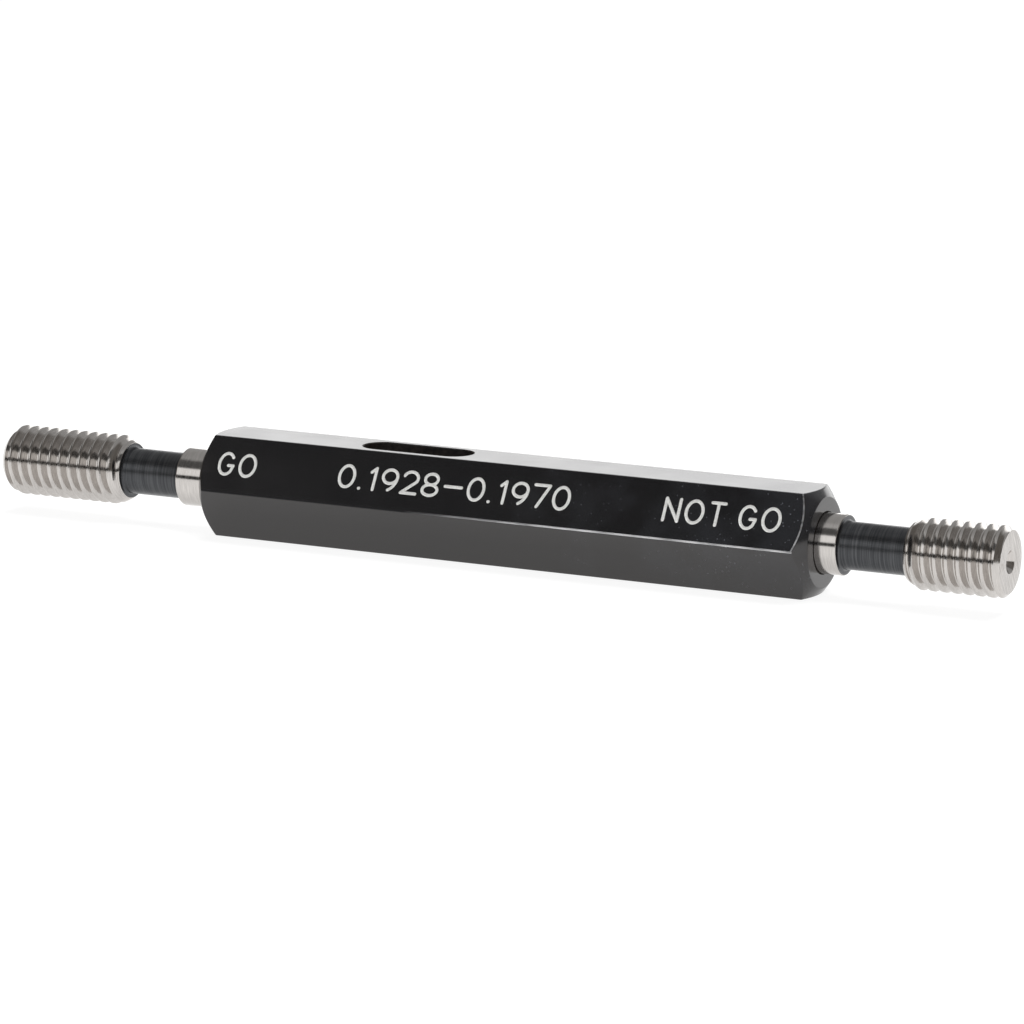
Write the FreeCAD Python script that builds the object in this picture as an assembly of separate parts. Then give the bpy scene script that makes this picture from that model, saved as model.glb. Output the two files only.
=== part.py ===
import FreeCAD, Part
import math
import os

# Double-ended thread plug gauge for a 12-28 internal thread.
#
# Three pieces: a hexagonal handle with a tapered bore in each end, a GO member and a NOT GO
# member. Each member is one turned and ground piece: screw plug, neck, collar and taper shank.
# The shanks hold by the friction of their taper, and a wedge through a drift slot frees them.
#
# Frame: +X runs along the gauge from the GO tip to the NOT GO tip, +Z is up, and the origin is
# on the flat that the handle rests on, halfway between the two tips. Millimetres and degrees.

# Handle, from hexagonal bar
across_flats = 7.9375            # 5/16 inch bar
handle_length = 51.05
edge_radius = 0.15               # drawn bar's long edges
end_face_diameter = 6.8          # flat ring left inside the turned end chamfer
end_chamfer_angle = 36.0         # between the chamfer and the end face
bore_mouth_chamfer = 0.1

# Drift slots: one in the top flat for the GO member, one in the bottom flat for the other
slot_width = 3.175               # 1/8 inch end mill
slot_length = 9.13
slot_from_end = 12.81            # handle's end to the slot's near end
slot_depth = 6.0
slot_overlap = 1.0               # how far a shank's small end shows in its slot
bore_past_shank = 2.0            # open bore behind a shank, where the wedge bears

# Taper shanks and the bores that hold them
collar_diameter = 4.57           # large end of the taper
taper_per_length = 1 / 48        # on diameter, slow enough to lock
taper_clearance = 0.005          # radial, between shank and bore
collar_edge = 0.12               # edge break at the collar's outer end
shank_edge = 0.3                 # chamfer at the shank's small end

# Thread, unified 60 degree form
threads_per_inch = 28
flank_angle = 30.0               # between a flank and the plane across the axis
root_flat_share = 1 / 8          # root flat as a share of the pitch
root_face_diameter = 4.4         # ring where the thread's rear chamfer ends
rear_chamfer_length = 0.95
centre_hole_diameter = 1.75
centre_hole_angle = 60.0         # included, for grinding between centres
centre_drill_diameter = 0.8
centre_drill_depth = 1.6
neck_blend = 0.2                 # 45 degree blend where the neck meets the thread and the collar

# GO member
go_major_diameter = 5.486        # 0.2160 inch
go_pitch_diameter = 4.897        # 0.1928 inch
go_thread_length = 10.85
go_tip_diameter = 4.0
go_tip_chamfer_length = 0.75
go_first_crest = 0.861           # tip to the first crest, along the top
go_neck_diameter = 3.6
go_neck_length = 5.1
go_collar_stand = 2.8            # handle's end to the collar's outer end

# NOT GO member: larger pitch diameter, crests cut back
not_go_major_diameter = 5.398    # 0.2125 inch
not_go_pitch_diameter = 5.004    # 0.1970 inch
not_go_thread_length = 7.48
not_go_tip_diameter = 4.72
not_go_tip_chamfer_length = 0.35
not_go_first_crest = 0.585
not_go_neck_diameter = 3.57
not_go_neck_length = 5.24
not_go_collar_stand = 1.73

# Worked out from the sizes above
pitch = 25.4 / threads_per_inch
hex_side = across_flats / math.sqrt(3)
axis_height = across_flats / 2
shank_in_handle = slot_from_end + slot_overlap
go_reach = go_collar_stand + go_neck_length + go_thread_length
not_go_reach = not_go_collar_stand + not_go_neck_length + not_go_thread_length
handle_start = (go_reach - not_go_reach - handle_length) / 2
handle_end = handle_start + handle_length

X = FreeCAD.Vector(1, 0, 0)
Y = FreeCAD.Vector(0, 1, 0)
Z = FreeCAD.Vector(0, 0, 1)
ORIGIN = FreeCAD.Vector(0, 0, 0)


def tan(degrees):
    return math.tan(math.radians(degrees))


def revolved(points):
    """Solid of revolution about Z from (radius, height) points that start and end on the axis."""
    corners = [FreeCAD.Vector(radius, 0, height) for radius, height in points]
    outline = Part.makePolygon(corners + corners[:1])
    return Part.Face(outline).revolve(ORIGIN, Z, 360)


def centre_hole(at, into):
    """60 degree centre with its drilled pilot, cut from the plane at height 'at' along 'into'."""
    mouth = centre_hole_diameter / 2
    pilot = centre_drill_diameter / 2
    cone = (mouth - pilot) / tan(centre_hole_angle / 2)
    bottom = centre_drill_depth + pilot / tan(59)
    return revolved([(0, at), (mouth, at), (pilot, at + into * cone),
                     (pilot, at + into * centre_drill_depth), (0, at + into * bottom)])


def shank_diameter(from_collar):
    """Diameter of the taper at a distance behind the collar's outer end."""
    return collar_diameter - from_collar * taper_per_length


def helix_turn(radius, height):
    """One right-hand turn of a helix about Z, as eight cubic spans that start at 'height'.

    A span of angle a has its inner poles 4/3 tan(a/4) radius along the tangents, as for an arc.
    """
    spans = 8
    step = 2 * math.pi / spans
    rise = pitch / spans
    arm = 4 / 3 * math.tan(step / 4) * radius
    poles = [FreeCAD.Vector(radius, 0, height)]
    for i in range(spans):
        start = FreeCAD.Vector(math.cos(i * step), math.sin(i * step), 0)
        end = FreeCAD.Vector(math.cos((i + 1) * step), math.sin((i + 1) * step), 0)
        low = start * radius + Z * (height + i * rise)
        high = end * radius + Z * (height + (i + 1) * rise)
        poles += [low + Z.cross(start) * arm + Z * (rise / 3),
                  high - Z.cross(end) * arm - Z * (rise / 3), high]
    curve = Part.BSplineCurve()
    multiplicities = [4] + [3] * (spans - 1) + [4]
    curve.buildFromPolesMultsKnots(poles, multiplicities, list(range(spans + 1)), False, 3)
    return curve.toShape()


def thread_ridge(major, pitch_diameter, length, first_crest):
    """Helical ridge of 60 degree form about Z, a turn or more longer than the thread at each end.

    Its base lies just under the root, so that the ridge grows out of the core that carries it.
    """
    crest_half = pitch / 4 - (major - pitch_diameter) / 2 * tan(flank_angle)
    base = root_diameter(pitch_diameter) / 2 - 0.02 * pitch
    base_half = crest_half + (major / 2 - base) * tan(flank_angle)
    section = [(base, -base_half), (major / 2, -crest_half), (major / 2, crest_half), (base, base_half)]
    start = first_crest - 2 * pitch
    turns = math.ceil((length - start) / pitch) + 1
    faces = []
    for turn in range(turns):
        rails = [helix_turn(radius, start + turn * pitch + z) for radius, z in section]
        faces += [Part.makeRuledSurface(*pair) for pair in zip(rails, rails[1:] + rails[:1])]
    for height in (start, start + turns * pitch):
        corners = [FreeCAD.Vector(radius, 0, height + z) for radius, z in section]
        faces.append(Part.Face(Part.makePolygon(corners + corners[:1])))
    shell = Part.makeShell(faces)
    shell.sewShape()
    return Part.makeSolid(shell)


def root_diameter(pitch_diameter):
    return pitch_diameter - pitch / 2 * (1 - 2 * root_flat_share) / tan(flank_angle)


def screw_plug(major, pitch_diameter, length, tip, tip_chamfer, first_crest):
    """Threaded plug about Z from its tip at height 0: core and ridge, turned to its chamfers."""
    core = Part.makeCylinder(root_diameter(pitch_diameter) / 2, length + 2 * pitch, Z * -pitch)
    ridge = thread_ridge(major, pitch_diameter, length, first_crest)
    clear = 1.1                  # the envelope passes outside the crests between its chamfers
    tip_run = tip_chamfer * (clear * major - tip) / (major - tip)
    rear_run = rear_chamfer_length * (clear * major - root_face_diameter) / (major - root_face_diameter)
    envelope = revolved([(0, 0), (tip / 2, 0), (clear * major / 2, tip_run),
                         (clear * major / 2, length - rear_run), (root_face_diameter / 2, length),
                         (0, length)])
    return core.fuse(ridge).common(envelope)


def turned_shank(length, neck, neck_length, stand):
    """Neck, collar and taper shank about Z, behind a screw plug of the given length."""
    collar = length + neck_length
    small_end = collar + stand + shank_in_handle
    small = shank_diameter(stand + shank_in_handle) / 2
    neck_and_collar = revolved([
        (0, length), (neck / 2 + neck_blend, length), (neck / 2, length + neck_blend),
        (neck / 2, collar - neck_blend), (neck / 2 + neck_blend, collar),
        (collar_diameter / 2 - collar_edge, collar), (collar_diameter / 2, collar + collar_edge),
        (0, collar + collar_edge)])
    taper = revolved([(0, collar + collar_edge), (collar_diameter / 2, collar + collar_edge),
                      (small, small_end - shank_edge), (small - shank_edge, small_end),
                      (0, small_end)]).toNurbs()
    return neck_and_collar.fuse(taper), centre_hole(small_end, -1)


def member(major, pitch_diameter, length, tip, tip_chamfer, first_crest, neck, neck_length, stand):
    """One gauging member lying along +X with its tip at the origin and its shank toward +X."""
    plug = screw_plug(major, pitch_diameter, length, tip, tip_chamfer, first_crest)
    shank, rear_centre = turned_shank(length, neck, neck_length, stand)
    solid = plug.fuse(shank).cut([centre_hole(0, 1), rear_centre])
    solid.rotate(ORIGIN, Y, 90)
    return solid


def go_member():
    solid = member(go_major_diameter, go_pitch_diameter, go_thread_length, go_tip_diameter,
                   go_tip_chamfer_length, go_first_crest, go_neck_diameter, go_neck_length,
                   go_collar_stand)
    solid.translate(FreeCAD.Vector(handle_start - go_reach, 0, axis_height))
    return solid


def not_go_member():
    solid = member(not_go_major_diameter, not_go_pitch_diameter, not_go_thread_length,
                   not_go_tip_diameter, not_go_tip_chamfer_length, not_go_first_crest,
                   not_go_neck_diameter, not_go_neck_length, not_go_collar_stand)
    solid.rotate(ORIGIN, Z, 180)
    solid.translate(FreeCAD.Vector(handle_end + not_go_reach, 0, axis_height))
    return solid


def hexagonal_bar():
    """Hexagonal bar along +X from x = 0, resting flat side down, with its long edges rounded."""
    corners = [FreeCAD.Vector(0, hex_side * math.cos(math.radians(60 * i)),
                              hex_side * math.sin(math.radians(60 * i))) for i in range(7)]
    bar = Part.Face(Part.makePolygon(corners)).extrude(X * handle_length)
    long_edges = [edge for edge in bar.Edges if abs(edge.Length - handle_length) < 1e-6]
    return bar.makeFillet(edge_radius, long_edges)


def turned_envelope():
    """Round envelope about +X that leaves the chamfer and the flat ring at both ends."""
    ring = end_face_diameter / 2
    reach = hex_side * 1.05
    run = (reach - ring) * tan(end_chamfer_angle)
    outline = [(0, 0), (ring, 0), (reach, run), (reach, handle_length - run),
               (ring, handle_length), (0, handle_length)]
    envelope = revolved(outline)
    envelope.rotate(ORIGIN, Y, 90)
    return envelope


def tapered_bore(stand):
    """Tapered bore along +X from the handle's end at x = 0, for a collar that stands out 'stand'."""
    depth = shank_in_handle + bore_past_shank
    mouth = shank_diameter(stand) / 2 + taper_clearance
    bottom = shank_diameter(stand + depth) / 2 + taper_clearance
    edge = bore_mouth_chamfer
    bore = revolved([(0, 0), (mouth + edge, 0), (mouth - edge * taper_per_length / 2, edge),
                     (bottom, depth), (0, depth)])
    bore.rotate(ORIGIN, Y, 90)
    return bore


def drift_slot():
    """Obround slot sunk from the top flat of a bar along +X whose end is at x = 0."""
    near = slot_from_end + slot_width / 2
    far = slot_from_end + slot_length - slot_width / 2
    floor = across_flats / 2 - slot_depth
    middle = Part.makeBox(far - near, slot_width, slot_depth,
                          FreeCAD.Vector(near, -slot_width / 2, floor))
    ends = [Part.makeCylinder(slot_width / 2, slot_depth, FreeCAD.Vector(x, 0, floor), Z)
            for x in (near, far)]
    return middle.fuse(ends).removeSplitter()


def handle():
    """Hexagonal handle: both ends are worked alike, the second after a half turn about Y."""
    first = [tapered_bore(go_collar_stand), drift_slot()]
    second = [tapered_bore(not_go_collar_stand), drift_slot()]
    for tool in second:
        tool.rotate(ORIGIN, Y, 180)
        tool.translate(X * handle_length)
    solid = hexagonal_bar().common(turned_envelope()).cut(first + second)
    solid.translate(FreeCAD.Vector(handle_start, 0, axis_height))
    return solid


os.makedirs("parts", exist_ok=True)
handle().exportStep("parts/handle.step")
go_member().exportStep("parts/go_member.step")
not_go_member().exportStep("parts/not_go_member.step")
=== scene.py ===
# %% [markdown]
# # A double-ended thread plug gauge
#
# The real gauge is three pieces: a black hexagonal handle, a GO member and a NOT GO member. The
# members are ground steel, and their tapered shanks are pressed into the handle's ends. The CAD
# frame has all three at their real size. Here each one gets a finer surface in the same place,
# with the small rounded edges, the cut lettering and the ground finish that catch the light.

# %% The frame
import math

import bmesh
import bpy
import numpy as np
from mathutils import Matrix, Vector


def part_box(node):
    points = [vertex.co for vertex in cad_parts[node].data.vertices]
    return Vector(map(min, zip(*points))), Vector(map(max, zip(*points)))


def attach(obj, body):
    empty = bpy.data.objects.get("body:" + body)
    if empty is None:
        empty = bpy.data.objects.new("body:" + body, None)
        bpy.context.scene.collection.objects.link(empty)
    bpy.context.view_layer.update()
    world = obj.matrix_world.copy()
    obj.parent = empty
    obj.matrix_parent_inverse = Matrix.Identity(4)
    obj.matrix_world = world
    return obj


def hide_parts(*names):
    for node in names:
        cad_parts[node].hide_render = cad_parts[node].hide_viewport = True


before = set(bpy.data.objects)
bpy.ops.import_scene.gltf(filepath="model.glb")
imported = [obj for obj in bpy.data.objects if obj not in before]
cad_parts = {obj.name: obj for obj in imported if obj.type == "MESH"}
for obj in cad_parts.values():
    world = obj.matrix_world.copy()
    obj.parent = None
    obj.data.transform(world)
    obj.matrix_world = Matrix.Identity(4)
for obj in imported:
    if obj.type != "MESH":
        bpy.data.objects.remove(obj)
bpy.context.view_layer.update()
mm = 0.001

handle_low, handle_high = (np.array(corner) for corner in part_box("handle"))
go_low = np.array(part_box("go_member")[0])
not_go_high = np.array(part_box("not_go_member")[1])
across_flats = handle_high[2] - handle_low[2]
axis_z = across_flats / 2
hex_side = across_flats / math.sqrt(3)
print("handle", round((handle_high[0] - handle_low[0]) / mm, 2), "mm long")

# %% [markdown]
# ## Surfaces from arrays
#
# A turned part is a profile carried round an axis, so every vertex is one formula of two numbers:
# how far along the profile, and how far round. numpy works out the whole grid at once, and the
# faces join each grid point to its neighbours. This is quicker than adding faces one by one, and
# it gives even quads that shade cleanly.


# %% Grids, lathes and rounded profiles
def make_object(name, points, faces, finish=None):
    """Mesh object from an array of points and a list of faces."""
    mesh = bpy.data.meshes.new(name)
    mesh.from_pydata(points.reshape(-1, 3).tolist(), [], faces)
    solid = bmesh.new()
    solid.from_mesh(mesh)
    bmesh.ops.recalc_face_normals(solid, faces=solid.faces)
    solid.to_mesh(mesh)
    solid.free()
    piece = bpy.data.objects.new(name, mesh)
    bpy.context.collection.objects.link(piece)
    if finish is not None:
        mesh.polygons.foreach_set("material_index", np.asarray(finish, dtype=np.int32))
    return piece


def ring_faces(rows, columns):
    """Quads of a grid whose columns close on themselves, facing away from its axis."""
    i, j = np.meshgrid(np.arange(rows - 1), np.arange(columns), indexing="ij")
    following = (j + 1) % columns
    quads = np.stack([i * columns + j, i * columns + following,
                      (i + 1) * columns + following, (i + 1) * columns + j], axis=-1)
    return quads.reshape(-1, 4).tolist()


def closed_tube(name, points, row_finish=None):
    """Closed solid from rings of points: side quads, and one flat face over each end ring.

    row_finish gives the material slot of each row of quads, then of the two end faces.
    """
    rows, columns = points.shape[:2]
    faces = ring_faces(rows, columns)
    faces.append(list(range(columns))[::-1])
    faces.append(list(range((rows - 1) * columns, rows * columns)))
    finish = None
    if row_finish is not None:
        finish = np.concatenate([np.repeat(row_finish[:-2], columns), row_finish[-2:]])
    return make_object(name, points, faces, finish)


def rounded(corners, cuts, steps=4):
    """Profile with its inner corners cut back and rounded.

    Corner p becomes the curve (1-s)^2 a + 2s(1-s) p + s^2 b, where a and b lie on the two
    sides, 'cut' away from p. corners is (count, ..., 2), so many profiles can share a call.
    """
    s = np.linspace(0, 1, steps)
    rows = [corners[:1]]
    for before, corner, after, cut in zip(corners[:-2], corners[1:-1], corners[2:], cuts):
        if cut == 0:
            rows.append(corner[None])
            continue
        back = (before - corner) / np.linalg.norm(before - corner, axis=-1, keepdims=True)
        on = (after - corner) / np.linalg.norm(after - corner, axis=-1, keepdims=True)
        weight = s.reshape((-1,) + (1,) * corner.ndim)
        start, end = corner + back * cut, corner + on * cut
        rows.append((1 - weight) ** 2 * start + 2 * weight * (1 - weight) * corner
                    + weight ** 2 * end)
    rows.append(corners[-1:])
    return np.concatenate(rows)


def around_axis(profile, columns):
    """Rings (x, r cos t, r sin t) about the gauge's axis for a profile of (x, r) pairs."""
    t = np.linspace(0, 2 * np.pi, columns, endpoint=False)
    x, r = profile[:, :1], profile[:, 1:]
    return np.stack(np.broadcast_arrays(x, r * np.cos(t), r * np.sin(t) + axis_z), axis=-1)


# %% [markdown]
# A boolean cuts one closed solid with another. Its result is kept as the mesh at once, so the
# next cut starts from plain faces. Shading is smooth, with sharp edges marked by their angle, and
# the flats keep true normals, because a polished flat shows the least dent in its shading.


# %% Cutting one solid with another
def combine(piece, other, operation):
    """Cut, join or intersect two solids, keep the result in the first and remove the second."""
    cut = piece.modifiers.new("combine", "BOOLEAN")
    cut.operation = operation
    cut.solver = "MANIFOLD"
    cut.object = other
    depsgraph = bpy.context.evaluated_depsgraph_get()
    result = bpy.data.meshes.new_from_object(piece.evaluated_get(depsgraph))
    piece.modifiers.clear()
    piece.data = result
    bpy.data.objects.remove(other)


def shade(piece, angle):
    """Smooth shading that stays crisp at edges sharper than the angle, with flats kept flat."""
    piece.data.polygons.foreach_set("use_smooth", np.ones(len(piece.data.polygons), dtype=bool))
    piece.data.set_sharp_from_angle(angle=math.radians(angle))
    weighted = piece.modifiers.new("flat faces", "WEIGHTED_NORMAL")
    weighted.keep_sharp = True
    weighted.weight = 100
    piece.data.update()
    print(piece.name, len(piece.data.polygons), "faces")


# %% [markdown]
# ## Finishes
#
# Black anodising is a thin, hard, glossy skin: it is nearly black where it faces the light and
# shows a clear reflection at a slant, so it is a dark dielectric with a raised index. Ground steel
# is a metal with fine lines round its axis. The lines are a noise stretched along the circle: it
# is read at (x, distance from the axis), so it runs true on cylinders, flanks and faces alike.


# %% Node helpers
def new_material(name, colour, roughness, metallic=0.0, ior=1.5):
    """Principled material with its constant values set directly on the shader."""
    material = bpy.data.materials.new(name)
    material.use_nodes = True
    shader = material.node_tree.nodes["Principled BSDF"]
    shader.inputs["Base Color"].default_value = (*colour, 1)
    shader.inputs["Roughness"].default_value = roughness
    shader.inputs["Metallic"].default_value = metallic
    shader.inputs["IOR"].default_value = ior
    return material, material.node_tree, shader


def node(tree, kind, inputs=(), **settings):
    """A new node with its settings, and its inputs given as values or as sockets to link."""
    made = tree.nodes.new(kind)
    for key, value in settings.items():
        setattr(made, key, value)
    for key, value in dict(inputs).items():
        if isinstance(value, bpy.types.NodeSocket):
            tree.links.new(value, made.inputs[key])
        else:
            made.inputs[key].default_value = value
    return made


def place(tree):
    """The point on the object, with the gauge's axis moved to zero height."""
    coordinates = node(tree, "ShaderNodeTexCoord")
    return node(tree, "ShaderNodeMapping", {"Vector": coordinates.outputs["Object"],
                                            "Location": (0, 0, -axis_z)}).outputs["Vector"]


def turned_lines(tree, spacing, along=900.0):
    """Noise read at (x, distance from the axis, a little of y and z): lines round the axis."""
    point = place(tree)
    parts = node(tree, "ShaderNodeSeparateXYZ", {"Vector": point})
    across = node(tree, "ShaderNodeCombineXYZ", {"Y": parts.outputs["Y"],
                                                 "Z": parts.outputs["Z"]})
    distance = node(tree, "ShaderNodeVectorMath", {0: across.outputs["Vector"]}, operation="LENGTH")
    fine = node(tree, "ShaderNodeCombineXYZ", {"X": parts.outputs["X"],
                                               "Y": distance.outputs["Value"]})
    lines = node(tree, "ShaderNodeVectorMath", {0: fine.outputs["Vector"], 1: (1 / spacing,) * 3},
                 operation="MULTIPLY")
    drift = node(tree, "ShaderNodeVectorMath", {0: across.outputs["Vector"], 1: (0, along, along)},
                 operation="MULTIPLY")
    both = node(tree, "ShaderNodeVectorMath", {0: lines.outputs["Vector"],
                                               1: drift.outputs["Vector"]}, operation="ADD")
    return node(tree, "ShaderNodeTexNoise", {"Vector": both.outputs["Vector"], "Scale": 1.0,
                                             "Detail": 2.0}).outputs["Fac"]


def bump(tree, shader, height, strength, distance):
    """Bump from a height, 'distance' metres deep at full strength."""
    made = node(tree, "ShaderNodeBump", {"Height": height, "Strength": strength,
                                         "Distance": distance})
    tree.links.new(made.outputs["Normal"], shader.inputs["Normal"])


def ramp(tree, factor, stops):
    """Colour ramp from a list of (position, colour)."""
    made = node(tree, "ShaderNodeValToRGB", {"Fac": factor})
    elements = made.color_ramp.elements
    elements.remove(elements[1])
    elements[0].position, elements[0].color = stops[0][0], (*stops[0][1], 1)
    for position, colour in stops[1:]:
        elements.new(position).color = (*colour, 1)
    return made.outputs["Color"]


def mixed_colour(tree, factor, first, second):
    """Mix of two colours, whose sockets are found by their type."""
    made = node(tree, "ShaderNodeMix", {0: factor}, data_type="RGBA")
    for socket, value in zip([s for s in made.inputs if s.type == "RGBA"], (first, second)):
        if isinstance(value, bpy.types.NodeSocket):
            tree.links.new(value, socket)
        else:
            socket.default_value = value
    return [s for s in made.outputs if s.type == "RGBA"][0]


def handle_share(tree):
    """How far a point lies along the handle, 0 at the GO end and 1 at the other."""
    parts = node(tree, "ShaderNodeSeparateXYZ", {"Vector": place(tree)})
    return node(tree, "ShaderNodeMapRange", {"Value": parts.outputs["X"],
                                             "From Min": float(handle_low[0]),
                                             "From Max": float(handle_high[0])}).outputs["Result"]


# %% Black anodising
black = (0.007, 0.007, 0.008)


def black_anodising():
    """Glossy black, lighter and bluish with bright specks in patches toward the NOT GO end."""
    material, tree, shader = new_material("black_anodising", black, 0.16, 0.0, 1.62)
    shader.inputs["Specular Tint"].default_value = (1.0, 0.965, 0.945, 1)
    point = place(tree)
    cloud = node(tree, "ShaderNodeTexNoise", {"Vector": point, "Scale": 260.0, "Detail": 4.0})
    rough = node(tree, "ShaderNodeMapRange", {"Value": cloud.outputs["Fac"], "To Min": 0.10,
                                              "To Max": 0.22})
    tree.links.new(rough.outputs["Result"], shader.inputs["Roughness"])
    specks = node(tree, "ShaderNodeTexVoronoi", {"Vector": point, "Scale": 2200.0})
    # A lighter, bluish tone with bright specks, in patches that grow toward the NOT GO end.
    speckled_tone = ramp(tree, specks.outputs["Distance"], [(0.0, (0.16, 0.17, 0.19)),
                                                    (0.16, (0.017, 0.018, 0.021))])
    patchy_reach = node(tree, "ShaderNodeMath", {0: handle_share(tree), 1: cloud.outputs["Fac"]},
                   operation="MULTIPLY")
    lighter_share = node(tree, "ShaderNodeMapRange", {"Value": patchy_reach.outputs["Value"], "From Min": 0.30,
                                             "From Max": 0.50})
    tone = mixed_colour(tree, lighter_share.outputs["Result"], (*black, 1), speckled_tone)
    tree.links.new(tone, shader.inputs["Base Color"])
    drawn = node(tree, "ShaderNodeVectorMath", {0: point, 1: (400.0, 16000.0, 16000.0)},
                 operation="MULTIPLY")
    streaks = node(tree, "ShaderNodeTexNoise", {"Vector": drawn.outputs["Vector"], "Scale": 1.0,
                                                "Detail": 3.0})
    bump(tree, shader, streaks.outputs["Fac"], 0.25, 0.0000015)
    return material


def slot_black():
    """The milled and bored insides, which the dye reached but no polish did."""
    material, tree, shader = new_material("slot_black", (0.014, 0.010, 0.009), 0.55, 0.0, 1.5)
    point = place(tree)
    grain = node(tree, "ShaderNodeTexNoise", {"Vector": point, "Scale": 3500.0, "Detail": 5.0})
    tone = ramp(tree, grain.outputs["Fac"], [(0.35, (0.008, 0.006, 0.006)),
                                             (0.75, (0.045, 0.034, 0.030))])
    tree.links.new(tone, shader.inputs["Base Color"])
    bump(tree, shader, grain.outputs["Fac"], 0.6, 0.00001)
    return material


def painted_edge_highlight():
    """Painted highlight on the edges: a bright, broken metal line in place of their reflection."""
    material, tree, shader = new_material("painted_edge_highlight", (0.3, 0.3, 0.3), 0.32, 0.9)
    scale = node(tree, "ShaderNodeVectorMath", {0: place(tree), 1: (500.0, 4000.0, 4000.0)},
                 operation="MULTIPLY")
    grain = node(tree, "ShaderNodeTexNoise", {"Vector": scale.outputs["Vector"], "Scale": 1.0,
                                              "Detail": 4.0})
    # Painted highlight: a bright metal tone, faded to dark toward the GO end.
    highlight_tone = ramp(tree, grain.outputs["Fac"], [(0.30, (0.22, 0.22, 0.225)),
                                             (0.60, (0.62, 0.62, 0.63))])
    reach = node(tree, "ShaderNodeMapRange", {"Value": handle_share(tree), "From Min": 0.36,
                                              "From Max": 0.60})
    tone = mixed_colour(tree, reach.outputs["Result"], (0.02, 0.02, 0.021, 1), highlight_tone)
    tree.links.new(tone, shader.inputs["Base Color"])
    return material


# %% [markdown]
# The paint in the letters is rubbed in and wiped off, so it is matt and a little uneven. A fine
# noise gives both its tone and its grain.


# %% White paint
def white_paint():
    """Matt white with a fine grain."""
    material, tree, shader = new_material("white_paint", (0.80, 0.80, 0.78), 0.5)
    grain = node(tree, "ShaderNodeTexNoise", {"Vector": place(tree), "Scale": 9000.0,
                                              "Detail": 3.0})
    tone = ramp(tree, grain.outputs["Fac"], [(0.3, (0.66, 0.66, 0.64)), (0.65, (0.84, 0.84, 0.82))])
    tree.links.new(tone, shader.inputs["Base Color"])
    bump(tree, shader, grain.outputs["Fac"], 0.4, 0.000008)
    return material


# %% [markdown]
# The steel has three finishes. The thread and collar are ground bright, the neck is blackened
# against rust, and the tip's face is rubbed on a stone. The first two share the turned lines. The
# last has straight scratches, from a noise that is drawn out along one direction.


# %% Steel
def ground_steel():
    """Bright metal whose tone, gloss and bump all follow the grinding lines."""
    material, tree, shader = new_material("ground_steel", (0.72, 0.69, 0.66), 0.2, 1.0)
    lines = turned_lines(tree, 0.028 * mm)
    tone = ramp(tree, lines, [(0.3, (0.47, 0.445, 0.425)), (0.7, (0.63, 0.605, 0.58))])
    tree.links.new(tone, shader.inputs["Base Color"])
    rough = node(tree, "ShaderNodeMapRange", {"Value": lines, "From Min": 0.3, "From Max": 0.7,
                                              "To Min": 0.09, "To Max": 0.20})
    tree.links.new(rough.outputs["Result"], shader.inputs["Roughness"])
    bump(tree, shader, lines, 0.35, 0.000004)
    return material


def blackened_steel():
    """Dark oxide over turned steel, with wider and softer lines."""
    material, tree, shader = new_material("blackened_steel", (0.06, 0.06, 0.062), 0.3, 0.85)
    lines = turned_lines(tree, 0.09 * mm, along=250.0)
    tone = ramp(tree, lines, [(0.35, (0.048, 0.050, 0.054)), (0.75, (0.105, 0.107, 0.112))])
    tree.links.new(tone, shader.inputs["Base Color"])
    bump(tree, shader, lines, 0.4, 0.000006)
    return material


def dressed_steel():
    """The tip's face, rubbed on a stone: straight scratches across it, all one way."""
    material, tree, shader = new_material("dressed_steel", (0.5, 0.48, 0.46), 0.24, 1.0)
    turned_way = node(tree, "ShaderNodeMapping", {"Vector": place(tree),
                                                  "Rotation": (math.radians(58), 0, 0)})
    across = node(tree, "ShaderNodeVectorMath", {0: turned_way.outputs["Vector"],
                                                 1: (100.0, 500.0, 14000.0)}, operation="MULTIPLY")
    scratches = node(tree, "ShaderNodeTexNoise", {"Vector": across.outputs["Vector"], "Scale": 1.0,
                                                  "Detail": 3.0}).outputs["Fac"]
    tone = ramp(tree, scratches, [(0.32, (0.36, 0.34, 0.325)), (0.68, (0.60, 0.575, 0.55))])
    tree.links.new(tone, shader.inputs["Base Color"])
    bump(tree, shader, scratches, 0.6, 0.000008)
    return material


anodising, inside, paint, edge_highlight = black_anodising(), slot_black(), white_paint(), painted_edge_highlight()
steel, dark_steel, dressed = ground_steel(), blackened_steel(), dressed_steel()
print("finishes", [m.name for m in (anodising, inside, paint, edge_highlight, steel, dark_steel, dressed)])

# %% [markdown]
# ## The handle
#
# The handle is a piece of hexagonal bar whose ends are turned to a cone. A cone meets each flat in
# a curve, which is what gives a nut or a hexagonal bar its arched ends. Every column of the grid
# is one straight line along the bar. Its distance from the axis says where the cone reaches it,
# so the arched edge falls exactly on grid points, and a small rounding there catches the light.

# %% Outline of the bar
edge_radius = 0.15 * mm
flat_samples = 23


def bar_outline():
    """Distance and angle of points round the bar: an arc at each corner, then along the flat.

    An arc of radius e about (s - e/cos30) along the corner, turning from -30 to 30 degrees.
    """
    corner = np.radians(60 * np.arange(6))[:, None]
    turn = np.radians(np.linspace(-30, 30, 7))[None]
    reach = hex_side - edge_radius / math.cos(math.radians(30))
    arc = np.stack([reach * np.cos(corner) + edge_radius * np.cos(corner + turn),
                    reach * np.sin(corner) + edge_radius * np.sin(corner + turn)], axis=-1)
    share = np.linspace(0, 1, flat_samples + 2)[1:-1][None, :, None]
    flat = arc[:, -1:] * (1 - share) + np.roll(arc[:, :1], -1, axis=0) * share
    points = np.concatenate([arc, flat], axis=1).reshape(-1, 2)
    return np.linalg.norm(points, axis=1), np.arctan2(points[:, 1], points[:, 0])


# %% Body of the handle
end_ring = 3.4 * mm
end_inner = 2.9 * mm
end_slope = math.tan(math.radians(36))
ring_cut = 0.04 * mm
arch_cut = 0.09 * mm


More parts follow.
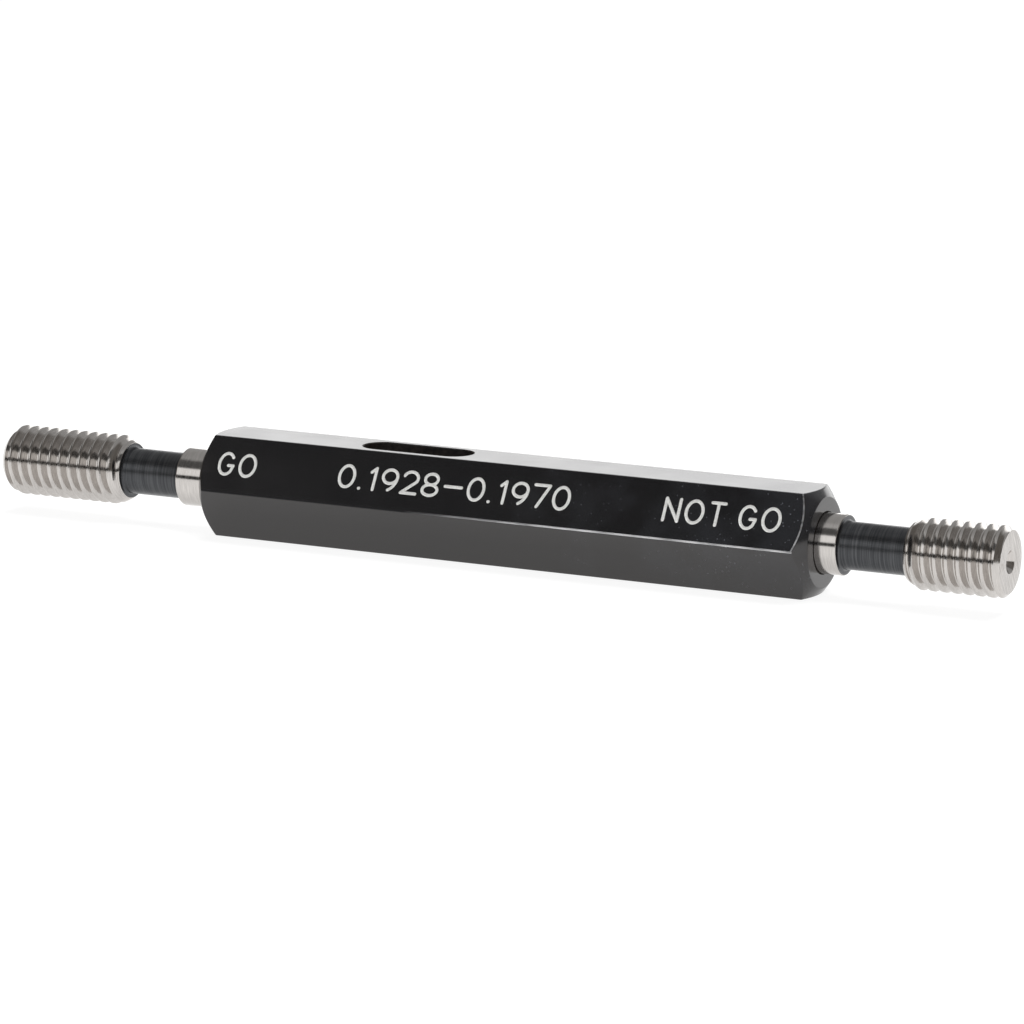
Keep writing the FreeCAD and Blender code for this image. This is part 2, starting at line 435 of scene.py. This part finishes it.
def handle_body():
    """Bar whose columns run (0, ring) - cone - flat - cone - (length, ring), corners rounded."""
    distance, angle = bar_outline()
    run = (distance - end_ring) * end_slope
    length = handle_high[0] - handle_low[0]
    zero = np.zeros_like(distance)
    corners = np.stack([np.stack(pair, axis=-1) for pair in [
        (zero, zero + end_inner), (zero, zero + end_ring), (run, distance),
        (length - run, distance), (zero + length, zero + end_ring),
        (zero + length, zero + end_inner)]])
    profile = rounded(corners, [ring_cut, arch_cut, arch_cut, ring_cut], 5)
    x, r = profile[..., 0] + handle_low[0], profile[..., 1]
    points = np.stack([x, r * np.cos(angle), r * np.sin(angle) + axis_z], axis=-1)
    return closed_tube("handle_finish", points)


body = handle_body()
for material in (anodising, inside, paint, edge_highlight):
    body.data.materials.append(material)
print("bar", len(body.data.polygons), "faces")

# %% [markdown]
# The bores and the drift slots are cut out as solids, as they are in the workshop. Each cutter
# widens a little at the surface, which leaves the broken edge that a burr tool gives.

# %% Bores and slots
collar_radius = 2.285 * mm
taper = 1 / 96
go_stand = 2.80 * mm
not_go_stand = 1.73 * mm
slot_near = 12.81 * mm
slot_length = 9.13 * mm
slot_width = 3.175 * mm
slot_depth = 6.0 * mm
bore_depth = 15.8 * mm
bore_gap = 0.005 * mm
bore_flare = 0.1 * mm
slot_flare = 0.07 * mm
above_flat = 0.5 * mm
before_end = 1.0 * mm


def bore_cutter(stand):
    """Cone about the axis from x = 0, with a flared mouth, for a collar standing out 'stand'."""
    mouth = collar_radius - stand * taper + bore_gap
    profile = np.array([(-before_end, mouth + bore_flare + before_end), (0, mouth + bore_flare),
                        (bore_flare, mouth), (bore_depth, mouth - bore_depth * taper)])
    return closed_tube("bore", around_axis(profile, 192))


def slot_cutter():
    """Obround carried from the slot's floor up through the top flat, wider above the surface."""
    half = slot_width / 2
    t = np.linspace(0, 2 * np.pi, 96, endpoint=False)
    middle = slot_near + slot_length / 2
    reach = slot_length / 2 - half
    rows = []
    for z, wider in ((across_flats - slot_depth, 0), (across_flats - slot_flare, 0),
                     (across_flats, slot_flare),
                     (across_flats + above_flat, slot_flare + above_flat)):
        rows.append(np.stack([middle + np.sign(np.cos(t)) * reach + (half + wider) * np.cos(t),
                              (half + wider) * np.sin(t), np.full_like(t, z)], axis=-1))
    return closed_tube("slot", np.array(rows))


def at_end(cutter, second):
    """Put a cutter at the GO end of the handle or, after a half turn about Y, at the other."""
    points = np.empty(len(cutter.data.vertices) * 3, dtype=np.float32)
    cutter.data.vertices.foreach_get("co", points)
    points = points.reshape(-1, 3)
    if second:
        points = points * (-1, 1, -1) + (handle_high[0], 0, across_flats)
    else:
        points = points + (handle_low[0], 0, 0)
    cutter.data.vertices.foreach_set("co", points.ravel().astype(np.float32))
    return cutter


for stand, second in ((go_stand, False), (not_go_stand, True)):
    combine(body, at_end(bore_cutter(stand), second), "DIFFERENCE")
    combine(body, at_end(slot_cutter(), second), "DIFFERENCE")
print("bored and slotted", len(body.data.polygons), "faces")

# %% [markdown]
# ## The lettering
#
# An engraving machine cuts letters as single strokes with a round tool, so each stroke is one
# width with round ends. A stroke here is a ball-ended tube carried along the letter's line, high
# enough above the flat that only its lowest part goes in. What it leaves is a shallow round
# groove, and the white paint is the groove's own surface.

# %% Strokes of the letters
cap = 1.72
stroke_width = 0.25 * mm
groove_depth = 0.035 * mm


def arc(centre, width, height, start, end, count=28):
    """Part of an ellipse, from one angle to another in degrees."""
    t = np.radians(np.linspace(start, end, count))
    return np.stack([centre[0] + width / 2 * np.cos(t), centre[1] + height / 2 * np.sin(t)],
                    axis=-1)


def line(*points):
    """Straight runs through the points given."""
    return np.array(points, dtype=float)


def along(*parts):
    """One path from several, end to end."""
    return np.concatenate(parts)


# Each glyph: its advance to the next one and its strokes, in mm from the left of the baseline.
glyphs = {
    "G": (1.82, [along(arc((0.62, 0.86), 1.24, 1.72, 40, 318), line((1.22, 0.72))),
                 line((0.80, 0.74), (1.22, 0.74))]),
    "O": (1.95, [arc((0.66, 0.86), 1.32, 1.72, 0, 360, 49)]),
    "N": (1.73, [line((0, 0), (0, cap)), line((0, cap), (1.14, 0)), line((1.14, 0), (1.14, cap))]),
    "T": (1.52, [line((0, cap), (1.04, cap)), line((0.52, cap), (0.52, 0))]),
    "0": (1.74, [arc((0.63, 0.86), 1.26, 1.72, 0, 360, 49)]),
    "1": (1.15, [line((0.12, 1.38), (0.48, cap)), line((0.48, cap), (0.48, 0))]),
    "2": (1.74, [along(arc((0.63, 1.21), 1.20, 1.02, 160, -32), line((0.02, 0.02))),
                 line((0, 0), (1.24, 0))]),
    "7": (1.70, [line((0, cap), (1.22, cap)), line((1.22, cap), (0.42, 0))]),
    "8": (1.74, [arc((0.63, 1.29), 1.08, 0.86, 0, 360, 37),
                 arc((0.63, 0.43), 1.26, 0.86, 0, 360, 37)]),
    "9": (1.74, [arc((0.61, 1.17), 1.22, 1.10, 0, 360, 37),
                 arc((0.20, 1.17), 2.04, 2.34, 0, -66, 16)]),
    "-": (2.10, [line((0.12, 0.86), (1.50, 0.86))]),
    ".": (0.80, [line((0.10, 0.0), (0.13, 0.0))]),
    " ": (0.86, []),
}


# %% Cutter for one stroke
def resampled(path, step=0.09):
    """Points at even steps along a path."""
    gaps = np.linalg.norm(np.diff(path, axis=0), axis=1)
    total = np.concatenate([[0], np.cumsum(gaps)])
    at = np.linspace(0, total[-1], max(3, int(total[-1] / step) + 1))
    return np.stack([np.interp(at, total, path[:, k]) for k in (0, 1)], axis=-1)


ball = ((stroke_width / 2) ** 2 + groove_depth ** 2) / (2 * groove_depth)


def stroke_cutter(path):
    """Ball-ended tube along a path on the text flat, in metres.

    Rings of radius ball sin(a) lead into each end, at ball cos(a) beyond it.
    """
    path = resampled(path) * mm
    direction = np.gradient(path, axis=0)
    closed = np.linalg.norm(path[0] - path[-1]) < 1e-9
    if closed:
        direction[0] = direction[-1] = path[1] - path[-2]
    direction /= np.linalg.norm(direction, axis=1, keepdims=True)
    radius = np.full(len(path), ball)
    if not closed:
        a = np.radians(np.arange(6, 90, 12))
        lead = path[0] - direction[0] * (ball * np.cos(a))[:, None]
        tail = path[-1] + direction[-1] * (ball * np.cos(a))[::-1, None]
        path = np.concatenate([lead, path, tail])
        radius = np.concatenate([ball * np.sin(a), radius, ball * np.sin(a)[::-1]])
        direction = np.concatenate([np.repeat(direction[:1], len(a), 0), direction,
                                    np.repeat(direction[-1:], len(a), 0)])
    side = np.stack([-direction[:, 1], direction[:, 0]], axis=-1)
    t = np.linspace(0, 2 * np.pi, 40, endpoint=False)
    flat = path[:, None] + side[:, None] * (radius[:, None] * np.cos(t))[..., None]
    height = ball - groove_depth + radius[:, None] * np.sin(t)
    return np.concatenate([flat, height[..., None]], axis=-1), closed


# %% Cut the words
text_normal = np.array([0, -math.cos(math.radians(30)), math.sin(math.radians(30))])
text_up = np.array([0, math.sin(math.radians(30)), math.cos(math.radians(30))])
text_centre = np.array([0, 0, axis_z]) + text_normal * axis_z


def on_text_flat(points):
    """(along, up, out of the flat) to the gauge's own axes."""
    base = text_centre + points[..., 1:2] * text_up + points[..., 2:3] * text_normal
    base[..., 0] = points[..., 0]
    return base


def word(text, left, baseline):
    """Strokes of a word in mm, each with the order in which it is cut."""
    strokes = []
    for letter in text:
        advance, lines = glyphs[letter]
        strokes += [(order, path + (left, baseline)) for order, path in enumerate(lines)]
        left += advance
    return strokes


baseline = -0.80
strokes = (word("GO", -21.50, baseline) + word("0.1928-0.1970", -10.98, baseline)
           + word("NOT GO", 16.26, baseline))
for order in sorted({order for order, path in strokes}):
    points, faces, start = [], [], 0
    for path in [path for this, path in strokes if this == order]:
        grid, closed = stroke_cutter(path)
        grid = on_text_flat(grid)
        rows, columns = grid.shape[:2]
        quads = np.array(ring_faces(rows, columns))
        if closed:
            grid, quads = grid[:-1], quads % ((rows - 1) * columns)
        faces += (quads + start).tolist()
        if not closed:
            faces.append((np.arange(columns)[::-1] + start).tolist())
            faces.append((np.arange((rows - 1) * columns, rows * columns) + start).tolist())
        points.append(grid.reshape(-1, 3))
        start += grid.shape[0] * columns
    combine(body, make_object("strokes", np.concatenate(points), faces), "DIFFERENCE")
print(len(strokes), "strokes cut,", len(body.data.polygons), "faces")


# %% [markdown]
# The cutters leave their faces in the handle without a finish of their own. Each face gets one
# from where its centre lies: deep in the bore or slot, just under the text flat, or on an edge
# with the painted highlight. The limits are a little wider than the cuts, so no face is missed
# at their rims.


# %% Finish of each face, from where it lies
def face_centres(piece):
    """Centres of all the faces, as an array."""
    centres = np.empty(len(piece.data.polygons) * 3, dtype=np.float32)
    piece.data.polygons.foreach_get("center", centres)
    return centres.reshape(-1, 3).astype(float)


least_depth = 0.0003 * mm
corner_reach = 0.10 * mm
arch_reach = 1.95 * mm


def handle_finishes(piece):
    """0 outside, 1 in slots and bores, 2 in the letters, 3 on the edges with the painted highlight.

    A letter is up to one groove deep under the text flat. Slots and bores are nearer the
    middle than the outside is: inside the bore's mouth, or inside the slot's width.
    """
    centre = face_centres(piece)
    x, y, z = centre[:, 0], centre[:, 1], centre[:, 2] - axis_z
    depth = axis_z - (y * text_normal[1] + z * text_normal[2])
    up = y * text_up[1] + z * text_up[2]
    finish = np.zeros(len(centre), dtype=np.int32)
    from_go, from_not_go = x - handle_low[0], handle_high[0] - x
    from_ends = np.minimum(from_go, from_not_go)
    bored = np.hypot(y, z) < collar_radius + 0.06 * mm
    slotted = (np.abs(y) < slot_width / 2 + 0.03 * mm) & (np.abs(z) < axis_z - 0.01 * mm)
    finish[bored | (slotted & (from_ends > slot_near - 0.2 * mm))] = 1
    sunk = depth > least_depth
    finish[sunk & (depth < 1.2 * groove_depth) & (np.abs(up) < 1.3 * mm)
           & (from_ends > 1 * mm)] = 2
    # Painted highlight: the lower edge of the text flat, and the arch at the NOT GO end.
    corner = np.hypot(y + hex_side, z) < corner_reach
    rim = sunk & (depth < 0.05 * mm) & (from_not_go < arch_reach) & (up > -2.2 * mm)
    finish[(finish == 0) & (corner | rim)] = 3
    finish[from_ends < 0.001 * mm] = 0
    piece.data.polygons.foreach_set("material_index", finish)
    print(piece.name, "faces by finish", np.bincount(finish))


handle_finishes(body)
shade(body, 20)
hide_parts("handle")
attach(body, "root")

# %% [markdown]
# ## The screw plugs
#
# A screw thread is a profile that moves along the axis by one pitch for every turn. On a grid the
# rows are helices: row u, column t lies at x = u + pitch t / 2 pi, so crests, flanks and roots
# fall exactly on rows. The last column joins the first one a pitch further on. The grid is made
# longer than the thread, and a turned envelope then cuts it to its chamfers and end faces.

# %% Thread grid
pitch = 25.4 / 28 * mm
columns = 288


def thread_profile(major, pitch_diameter):
    """One pitch of (offset from the crest, radius): root, flank, crest, flank, 60 degrees."""
    slope = math.tan(math.radians(30))
    crest = pitch / 4 - (major - pitch_diameter) / 2 * slope
    root_half = pitch / 16
    root = pitch_diameter / 2 - (pitch / 4 - root_half) / slope
    middle = -(crest + pitch / 2 - root_half) / 2, (major / 2 + root) / 2
    corners = np.array([(-pitch / 2, root), (-pitch / 2 + root_half, root), middle,
                        (-crest, major / 2), (crest, major / 2), (-middle[0], middle[1]),
                        (pitch / 2 - root_half, root), (pitch / 2, root)])
    cuts = [0.045 * mm, 0, 0.014 * mm, 0.014 * mm, 0, 0.045 * mm]
    return rounded(corners, cuts, 4)[:-1]


def thread_solid(name, major, pitch_diameter, start, end, crest_x):
    """Closed helical solid from well before start to well after end, a crest at x over the top."""
    one = thread_profile(major, pitch_diameter)
    per_pitch = len(one)
    first = crest_x - pitch / 4 - pitch * math.ceil((crest_x - start) / pitch + 1.5)
    turns = math.ceil((end - first) / pitch + 1.5)
    offset = first + pitch * np.arange(turns)[:, None] + one[None, :, 0]
    u, r = offset.reshape(-1), np.tile(one[:, 1], turns)
    t = np.linspace(0, 2 * np.pi, columns, endpoint=False)
    rows = len(u)
    x = u[:, None] + pitch * t / (2 * np.pi)
    points = np.stack([x, r[:, None] * np.cos(t), r[:, None] * np.sin(t) + axis_z], axis=-1)
    index = np.arange(rows * columns).reshape(rows, columns)
    side = np.stack([index[:-1, :-1], index[:-1, 1:], index[1:, 1:], index[1:, :-1]], axis=-1)
    near, far = index[:-per_pitch, -1], index[per_pitch:, 0]
    seam = np.stack([near[:-1], far[:-1], far[1:], near[1:]], axis=-1)
    faces = side.reshape(-1, 4).tolist() + seam.tolist()
    low_loop = np.concatenate([index[0], index[1:per_pitch + 1, 0][::-1]])
    high_loop = np.concatenate([index[-1], index[-per_pitch - 1:-1, -1][::-1]])
    centres = np.array([(points[end, :, 0].mean(), 0, axis_z) for end in (0, -1)])
    for loop, centre, flip in ((low_loop, rows * columns, True),
                               (high_loop, rows * columns + 1, False)):
        fan = np.stack([loop, np.roll(loop, -1), np.full_like(loop, centre)], axis=-1)
        faces += (fan[:, ::-1] if flip else fan).tolist()
    return make_object(name, np.concatenate([points.reshape(-1, 3), centres]), faces)


# %% [markdown]
# ## The members
#
# Each member is turned from one bar: chamfered thread, black-finished neck, bright collar and
# taper shank. The envelope, the neck and the shank are one profile, given from the tip inward and
# carried round the axis. The direction says which way the tip points.

# %% Sizes that both members share
neck_fillet = 0.2 * mm
centre_hole = 0.875 * mm
pilot = 0.4 * mm
pilot_depth = 1.6 * mm
centre_slope = math.tan(math.radians(30))
rear_chamfer = 0.95 * mm
rear_radius = 2.2 * mm
rear_inner = 1.0 * mm
over_crest = 0.05 * mm
small_round = 0.02 * mm
rim_round = 0.03 * mm
collar_round = 0.12 * mm
shank_round = 0.25 * mm
shank_length = 13.81 * mm
shank_hole = 0.82 * mm


# %% Profiles of a member
def thread_envelope(major, length, tip_radius, tip_run):
    """Pilot, centre hole, tip face, chamfer, side and rear chamfer, as (from the tip, radius).

    The side stands clear of the crests, and each chamfer runs on to meet it, so that it cuts
    the crests where it should.
    """
    crest = major / 2
    tip_end = tip_run + over_crest * tip_run / (crest - tip_radius)
    rear_start = length - rear_chamfer - over_crest * rear_chamfer / (crest - rear_radius)
    corners = np.array([
        (pilot_depth, pilot), ((centre_hole - pilot) / centre_slope, pilot), (0, centre_hole),
        (0, tip_radius), (tip_end, crest + over_crest), (rear_start, crest + over_crest),
        (length, rear_radius), (length, rear_inner)])
    return rounded(corners, [small_round, small_round, rim_round, 0, 0, rim_round], 4)


def neck_and_shank(length, neck, neck_length, stand):
    """Neck with its fillets, collar, taper shank and the centre hole in its small end."""
    collar = length + neck_length
    end = collar + stand + shank_length
    corners = np.array([
        (length - 0.3 * mm, neck + neck_fillet), (length, neck + neck_fillet),
        (length + 0.001 * mm, neck), (collar, neck), (collar, collar_radius),
        (end, collar_radius - (stand + shank_length) * taper), (end, centre_hole),
        (end - shank_hole, pilot), (end - pilot_depth, pilot)])
    return rounded(corners, [0, neck_fillet * 0.99, neck_fillet, collar_round, shank_round,
                             small_round, small_round], 5)


def turned(name, outline, tip_x, inward, finish):
    """Carry a profile of (distance from the tip, radius) round the axis, facing outward."""
    profile = outline * (inward, 1) + (tip_x, 0)
    if inward < 0:
        profile, finish = profile[::-1], np.concatenate([finish[:-2][::-1], finish[:-3:-1]])
    piece = closed_tube(name, around_axis(profile, columns), finish)
    for finish_used in (steel, dark_steel):
        piece.data.materials.append(finish_used)
    return piece


# %% Build one member
def member(name, tip_x, inward, major, pitch_diameter, length, tip_radius, tip_run, first_crest,
           neck, neck_length, stand):
    """Threaded plug cut to its chamfers, joined to its neck, collar and shank."""
    envelope = thread_envelope(major, length, tip_radius, tip_run)
    behind = (envelope[:-1, 0] + envelope[1:, 0]) / 2 > length - 0.001 * mm
    rim = turned(name + "_rim", envelope, tip_x, inward,
                 np.concatenate([behind.astype(int), [0, 1]]))
    ends = sorted([tip_x, tip_x + inward * length])
    screw = thread_solid(name + "_finish", major, pitch_diameter, ends[0], ends[1],
                         tip_x + inward * first_crest)
    for finish_used in (steel, dark_steel, dressed):
        screw.data.materials.append(finish_used)
    combine(screw, rim, "INTERSECT")
    outline = neck_and_shank(length, neck, neck_length, stand)
    dark = (outline[:-1, 0] + outline[1:, 0]) / 2 < length + neck_length + 0.01 * mm
    combine(screw, turned(name + "_shank", outline, tip_x, inward,
                          np.concatenate([dark.astype(int), [1, 0]])), "UNION")
    finish = np.empty(len(screw.data.polygons), dtype=np.int32)
    screw.data.polygons.foreach_get("material_index", finish)
    finish[np.abs(face_centres(screw)[:, 0] - tip_x) < 0.0005 * mm] = 2
    screw.data.polygons.foreach_set("material_index", finish)
    print(name, "faces by finish", np.bincount(finish))
    shade(screw, 35)
    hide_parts(name)
    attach(screw, "root")


# %% The GO and the NOT GO member
member("go_member", tip_x=go_low[0], inward=1, major=5.486 * mm, pitch_diameter=4.897 * mm,
       length=10.85 * mm, tip_radius=2.0 * mm, tip_run=0.75 * mm, first_crest=0.861 * mm,
       neck=1.80 * mm, neck_length=5.10 * mm, stand=go_stand)
member("not_go_member", tip_x=not_go_high[0], inward=-1, major=5.398 * mm,
       pitch_diameter=5.004 * mm, length=7.48 * mm, tip_radius=2.36 * mm, tip_run=0.35 * mm,
       first_crest=0.585 * mm, neck=1.785 * mm, neck_length=5.24 * mm, stand=not_go_stand)

# %% [markdown]
# ## Floor and light
#
# Polished flats show whatever they face, so the light is part of the look. The gauge lies on a
# white table in a light tent: white below and behind, a soft panel in front, and a dark gap above
# the panel. The lettered flat looks into that gap and goes black, while the top flat is seen at a
# slant and shows the bright wall behind. A narrow gap between table and panel draws the thin dark
# line along the steel. To the camera itself, the tent is plain white.


# %% Floor
def floor():
    """White sheet: a shadow-catching diffuse, with a glow where it is seen or mirrored."""
    size = 3.0
    mesh = bpy.data.meshes.new("floor")
    mesh.from_pydata([(-size, -size, 0), (size, -size, 0), (size, size, 0), (-size, size, 0)],
                     [], [(0, 1, 2, 3)])
    ground = bpy.data.objects.new("floor", mesh)
    bpy.context.collection.objects.link(ground)
    material = bpy.data.materials.new("floor_white")
    material.use_nodes = True
    tree = material.node_tree
    tree.nodes.remove(tree.nodes["Principled BSDF"])
    path = node(tree, "ShaderNodeLightPath")
    seen = node(tree, "ShaderNodeMath", {0: path.outputs["Is Camera Ray"],
                                         1: path.outputs["Is Glossy Ray"]}, operation="MAXIMUM")
    clear = node(tree, "ShaderNodeMath", {0: seen.outputs["Value"],
                                          1: path.outputs["Is Transmission Ray"]},
                 operation="MAXIMUM")
    plain = node(tree, "ShaderNodeBsdfDiffuse", {"Color": (0.85, 0.85, 0.85, 1)})
    shaded = node(tree, "ShaderNodeBsdfDiffuse", {"Color": (0.20, 0.20, 0.20, 1)})
    glow = node(tree, "ShaderNodeEmission", {"Color": (1, 1, 1, 1), "Strength": 0.90})
    lit = node(tree, "ShaderNodeAddShader", {0: shaded.outputs["BSDF"],
                                             1: glow.outputs["Emission"]})
    mix = node(tree, "ShaderNodeMixShader", {0: clear.outputs["Value"], 1: plain.outputs["BSDF"],
                                             2: lit.outputs["Shader"]})
    tree.links.new(mix.outputs["Shader"], tree.nodes["Material Output"].inputs["Surface"])
    ground.data.materials.append(material)
    print("floor", 2 * size, "m wide")


floor()

# %% World
world = bpy.data.worlds.new("tent")
bpy.context.scene.world = world
world.use_nodes = True
sky = world.node_tree
direction = node(sky, "ShaderNodeTexCoord").outputs["Generated"]
parts = node(sky, "ShaderNodeSeparateXYZ", {"Vector": direction})
height = node(sky, "ShaderNodeMapRange", {"Value": parts.outputs["Z"], "From Min": -1.0,
                                          "From Max": 1.0}).outputs["Result"]
back = node(sky, "ShaderNodeMapRange", {"Value": parts.outputs["Y"], "From Min": -0.12,
                                        "From Max": 0.12}).outputs["Result"]


def grey(value):
    """The same value for red, green and blue."""
    return (value, value, value)


table, panel, gap, recess = grey(1), grey(1.2), grey(0.02), grey(0.10)
front_wall = ramp(sky, height, [
    (0.0, table), (0.500, table), (0.503, gap), (0.600, gap), (0.615, panel), (0.785, panel),
    (0.81, recess), (0.93, recess), (0.94, grey(0.6)), (1.0, grey(0.4))])
back_wall = ramp(sky, height, [(0.0, table), (0.61, table), (0.64, grey(0.22)), (1.0, grey(0.2))])
side_wall = ramp(sky, height, [(0.0, table), (0.500, table), (0.51, (0.12, 0.11, 0.10)),
                               (1.0, (0.20, 0.19, 0.18))])
bright_back = node(sky, "ShaderNodeVectorMath", {0: back_wall, 1: grey(1.9)},
                   operation="MULTIPLY").outputs["Vector"]
sideways = node(sky, "ShaderNodeMath", {0: parts.outputs["X"]}, operation="ABSOLUTE")
side = node(sky, "ShaderNodeMapRange", {"Value": sideways.outputs["Value"], "From Min": 0.52,
                                        "From Max": 0.64}).outputs["Result"]
front_to_back = mixed_colour(sky, back, front_wall, bright_back)
tent = mixed_colour(sky, side, front_to_back, side_wall)
path = node(sky, "ShaderNodeLightPath")
seen = mixed_colour(sky, path.outputs["Is Camera Ray"], tent, (1, 1, 1, 1))
background = sky.nodes["Background"]
sky.links.new(seen, background.inputs["Color"])
background.inputs["Strength"].default_value = 1.0
print("tent walls", len(sky.nodes), "nodes")

# %% Lamp
lamp_data = bpy.data.lights.new("overhead", "AREA")
lamp_data.energy = 2.6
lamp_data.size = 0.35
lamp = bpy.data.objects.new("overhead", lamp_data)
lamp.location = (0.05, 0.12, 0.45)
lamp.rotation_euler = (math.radians(-15), math.radians(6), 0)
lamp.visible_glossy = False
bpy.context.collection.objects.link(lamp)
print("lamp", lamp_data.energy, "W,", lamp_data.size, "m wide")

# %% [markdown]
# ## Camera
#
# A long lens from a short distance up keeps the bar nearly true, with just enough perspective to
# see the NOT GO member come forward.

# %% Camera
azimuth, elevation, roll = math.radians(26.10), math.radians(11.19), math.radians(0.558)
target = np.array([2.017, 0.0, 3.815]) * mm
distance = 359.36 * mm
back_axis = np.array([math.sin(azimuth) * math.cos(elevation),
                      -math.cos(azimuth) * math.cos(elevation), math.sin(elevation)])
level = np.array([math.cos(azimuth), math.sin(azimuth), 0])
upright = np.cross(back_axis, level)
right = level * math.cos(roll) + upright * math.sin(roll)
up = np.cross(back_axis, right)
camera_data = bpy.data.cameras.new("camera")
camera_data.lens = 166.56
camera_data.sensor_width = 36
camera_data.clip_start = 0.01
camera = bpy.data.objects.new("camera", camera_data)
matrix = np.eye(4)
matrix[:3, 0], matrix[:3, 1], matrix[:3, 2] = right, up, back_axis
matrix[:3, 3] = target + back_axis * distance
camera.matrix_world = matrix.T.tolist()
bpy.context.collection.objects.link(camera)
bpy.context.scene.camera = camera
bpy.context.scene.view_settings.view_transform = "Standard"
print("camera", round(distance / mm, 1), "mm away, lens", camera_data.lens, "mm")
